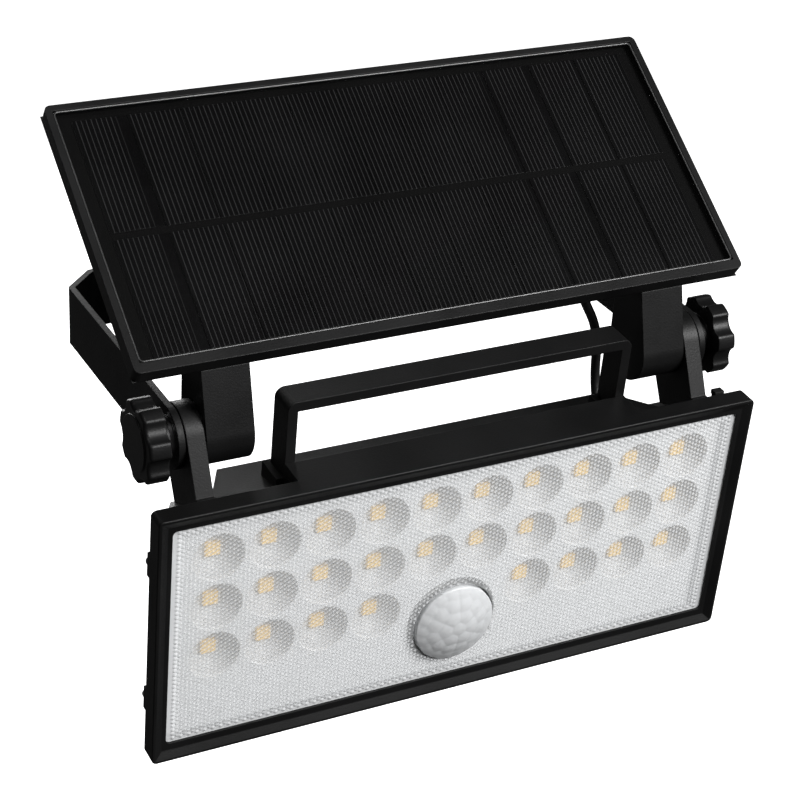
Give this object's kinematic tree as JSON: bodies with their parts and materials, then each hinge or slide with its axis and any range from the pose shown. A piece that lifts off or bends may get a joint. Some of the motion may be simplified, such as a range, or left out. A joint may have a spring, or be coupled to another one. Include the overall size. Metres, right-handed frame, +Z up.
{
  "type": "solar flood light",
  "caption": "Wall flood light with a tilting lamp head, a carrying handle and a hinged solar panel on one yoke, clamped by two star knobs.",
  "frame": {"origin": "centre of the yoke base's centre hole, on the wall face", "axes": "+X to the light's right seen from the front, +Y into the wall, +Z up; the lamp faces -Y"},
  "size_m": [0.25, 0.1454, 0.2197],
  "materials": {
    "yoke_steel": "black powder coat, fine satin texture",
    "bright_steel": "zinc plated",
    "seal_rubber": "matt",
    "knob_plastic": "moulded black nylon, satin",
    "case_plastic": "moulded black plastic, fine spark texture",
    "diffuser_clear": "clear prismatic sheet with a fine bump grid",
    "reflector_white": "bright moulded white",
    "board_white": "white solder mask",
    "led_yellow": "phosphor yellow",
    "lens_milky": "milky faceted polyethylene",
    "cell_wrap": "shrink wrap",
    "board_green": "solder mask",
    "component_black": "moulded",
    "button_rubber": "matt",
    "gland_plastic": "moulded nylon",
    "panel_glass": "clear cover",
    "cell_silicon": "near-black silicon with thin silver fingers",
    "backsheet_black": "matt black sheet",
    "cable_rubber": "satin black jacket"
  },
  "bodies": {
    "bracket": {"u_bracket": "yoke_steel", "knob_washers": "bright_steel", "outer_friction_discs": "seal_rubber"},
    "left_clamp": {"left_knob": "knob_plastic", "left_stud": "bright_steel"},
    "right_clamp": {"right_knob": "knob_plastic", "right_stud": "bright_steel"},
    "button": {"mode_button": "button_rubber"},
    "panel": {"panel_frame": "case_plastic", "panel_back": "case_plastic", "panel_glass": "panel_glass", "solar_cells": "cell_silicon", "cell_backsheet": "backsheet_black", "left_solar_arm": "case_plastic", "left_nut": "bright_steel", "right_solar_arm": "case_plastic", "right_nut": "bright_steel", "panel_screws": "bright_steel", "arm_screws": "bright_steel", "junction_box": "case_plastic", "junction_board": "board_green", "panel_gland": "gland_plastic"},
    "lamp": {"inner_friction_discs": "seal_rubber", "front_bezel": "case_plastic", "diffuser": "diffuser_clear", "lens_gasket": "seal_rubber", "reflector_tray": "reflector_white", "led_board": "board_white", "led_chips": "led_yellow", "motion_lens": "lens_milky", "motion_sensor": "bright_steel", "rear_housing": "case_plastic", "left_lug": "case_plastic", "right_lug": "case_plastic", "handle": "case_plastic", "port_cap": "button_rubber", "bezel_screws": "bright_steel", "handle_screws": "bright_steel", "lug_screws": "bright_steel", "battery_cells": "cell_wrap", "battery_holder": "case_plastic", "control_board": "board_green", "board_components": "component_black", "button_switch": "component_black", "lamp_gland": "gland_plastic", "solar_cable": "cable_rubber"}
  },
  "joints": [
    {"name": "lamp_tilt", "type": "hinge", "parent": "bracket", "child": "lamp", "pos_m": [0, -0.116, 0], "axis": [1, 0, 0], "range_deg": [-12, 45]},
    {"name": "panel_tilt", "type": "hinge", "parent": "lamp", "child": "panel", "pos_m": [0, -0.116, 0], "axis": [1, 0, 0], "range_deg": [-12, 60], "deforming": ["solar_cable"]},
    {"name": "left_knob_turn", "type": "hinge", "parent": "bracket", "child": "left_clamp", "pos_m": [0, -0.116, 0], "axis": [-1, 0, 0], "continuous": true},
    {"name": "right_knob_turn", "type": "hinge", "parent": "bracket", "child": "right_clamp", "pos_m": [0, -0.116, 0], "axis": [1, 0, 0], "continuous": true},
    {"name": "mode_button_press", "type": "slide", "parent": "lamp", "child": "button", "axis": [0, -0.998, -0.0628], "range_m": [0, 0.0012], "stiffness_N_per_m": 800, "springref_m": -0.0005}
  ]
}
